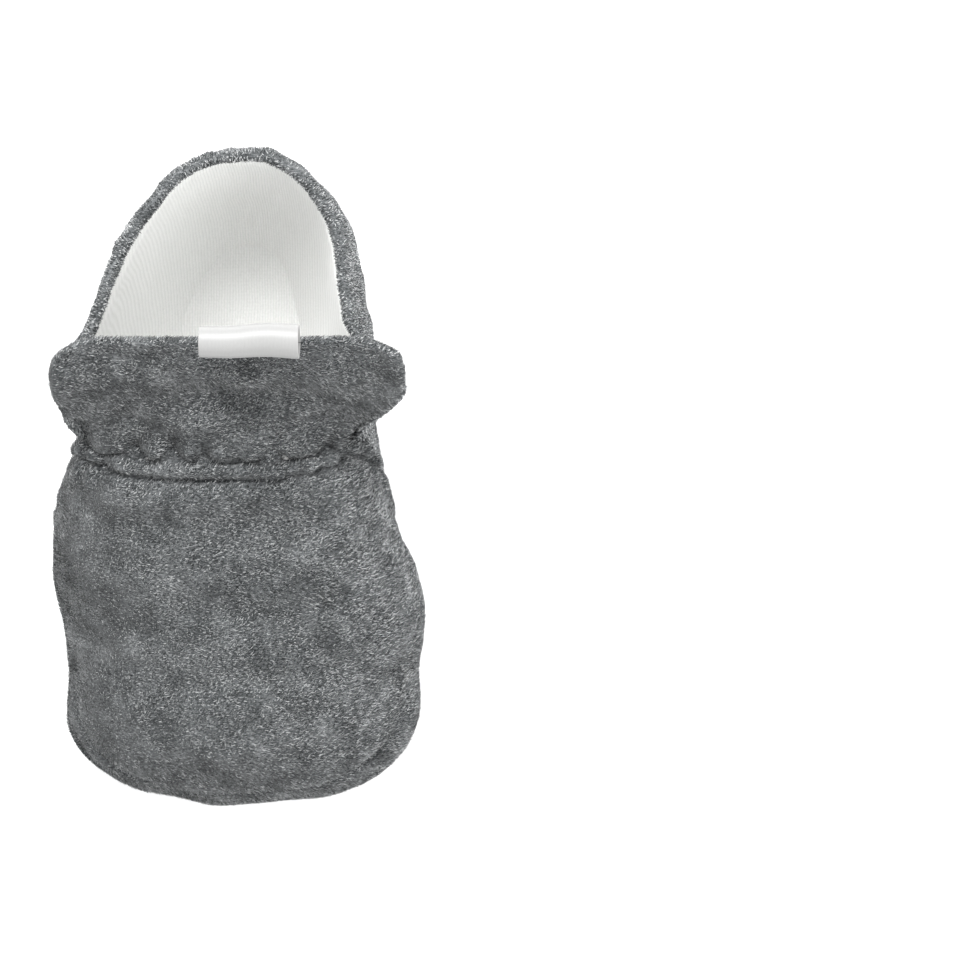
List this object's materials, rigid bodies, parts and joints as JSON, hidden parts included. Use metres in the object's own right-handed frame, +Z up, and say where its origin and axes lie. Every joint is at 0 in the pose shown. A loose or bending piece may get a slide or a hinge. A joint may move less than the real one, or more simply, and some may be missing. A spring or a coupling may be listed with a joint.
{
  "type": "baby bootie",
  "caption": "Soft fleece baby bootie with a rounded toe, gathered ankle, fold-forward collar flap, ribbon label and jersey lining.",
  "frame": {"origin": "centre of the bootie's plan box, on the surface it stands on", "axes": "+Z up, +Y from the toe towards the heel, +X to the right when looking from the toe to the heel"},
  "size_m": [0.0695, 0.1229, 0.0773],
  "materials": {
    "fleece": "brushed melange fleece",
    "jersey": "fine knit jersey",
    "wadding": "fibre wadding",
    "elastic": "woven elastic",
    "satin_ribbon": "satin ribbon",
    "thread": "spun sewing thread"
  },
  "bodies": {
    "shoe": {"outsole": "fleece", "sole_wadding": "wadding", "insole_lining": "jersey", "vamp_outer": "fleece", "vamp_lining": "jersey", "front_elastic": "elastic", "heel_outer": "fleece", "heel_lining": "jersey", "heel_elastic": "elastic", "casing_stitches_lower": "thread", "casing_stitches_upper": "thread", "heel_casing_stitches": "thread", "side_seam_stitches": "thread", "sole_seam_stitches": "thread"},
    "collar_flap": {"collar_outer": "fleece", "collar_lining": "jersey", "label_stitches": "thread"},
    "label_loop": {"label": "satin_ribbon"}
  },
  "joints": [
    {"name": "collar_fold", "type": "hinge", "parent": "shoe", "child": "collar_flap", "pos_m": [0, 0.0084, 0.0488], "axis": [1, 0, 0], "range_deg": [0, 72], "stiffness_Nm_per_rad": 0.002},
    {"name": "label_flop", "type": "hinge", "parent": "collar_flap", "child": "label_loop", "pos_m": [0.0044, 0.0255, 0.0688], "axis": [1, 0, 0], "range_deg": [-35, 35], "stiffness_Nm_per_rad": 0.0002}
  ]
}
